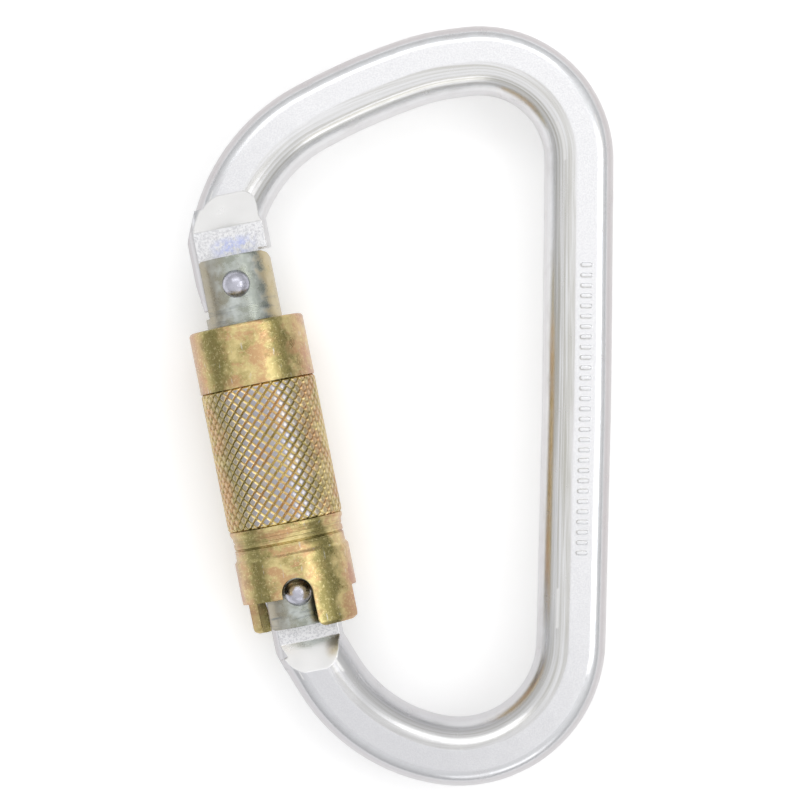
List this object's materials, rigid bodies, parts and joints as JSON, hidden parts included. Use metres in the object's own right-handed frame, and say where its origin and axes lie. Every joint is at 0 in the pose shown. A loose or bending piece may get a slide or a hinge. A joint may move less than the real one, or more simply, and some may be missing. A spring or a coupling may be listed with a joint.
{
  "type": "locking carabiner",
  "caption": "Offset D steel locking carabiner with a spring gate and a knurled sleeve that lifts and turns to free the gate.",
  "frame": {"origin": "centre of the closed carabiner's bounding box, on its middle plane", "axes": "+Y along its length towards the wide end and the gate's nose, +X towards the spine, +Z through the thickness, out of the face that is seen"},
  "size_m": [0.0628, 0.1118, 0.017],
  "materials": {
    "forged_steel": "bright zinc-plated forged steel, satin with polished bevels",
    "barrel_steel": "turned steel with a pale zinc plating",
    "rivet_steel": "polished steel rivet heads",
    "inner_steel": "plain machined steel",
    "spring_steel": "oiled spring wire",
    "sleeve_zinc": "yellow passivated zinc plating on steel"
  },
  "bodies": {
    "body": {"frame": "forged_steel"},
    "gate": {"gate_barrel": "barrel_steel", "hinge_rivet": "rivet_steel", "latch_rivet": "rivet_steel", "gate_spring": "spring_steel", "sleeve_spring": "spring_steel", "retaining_ring": "spring_steel"},
    "plunger": {"gate_plunger": "inner_steel"},
    "sleeve_carriage": {"thrust_washer": "inner_steel"},
    "locking_sleeve": {"sleeve": "sleeve_zinc", "sleeve_cap": "sleeve_zinc"}
  },
  "joints": [
    {"name": "gate_swing", "type": "hinge", "parent": "body", "child": "gate", "pos_m": [-0.01492, -0.0271, 0], "axis": [0, 0, -1], "range_deg": [0, 28], "stiffness_Nm_per_rad": 0.12, "springref_deg": -5.73},
    {"name": "plunger_slide", "type": "slide", "parent": "gate", "child": "plunger", "axis": [-0.1977, 0.9803, 0], "range_m": [0, 0.0006], "deforming": ["gate_spring"]},
    {"name": "sleeve_lift", "type": "slide", "parent": "gate", "child": "sleeve_carriage", "axis": [-0.1977, 0.9803, 0], "range_m": [0, 0.0022], "stiffness_N_per_m": 600, "springref_m": -0.001, "deforming": ["sleeve_spring"]},
    {"name": "sleeve_twist", "type": "hinge", "parent": "sleeve_carriage", "child": "locking_sleeve", "pos_m": [-0.01492, -0.0271, 0], "axis": [-0.1977, 0.9803, 0], "range_deg": [0, 100], "stiffness_Nm_per_rad": 0.01, "springref_deg": -17.19}
  ],
  "couplings": [
    {"joint": "plunger_slide", "follows": "gate_swing", "m_per_rad": 0.0012278}
  ]
}
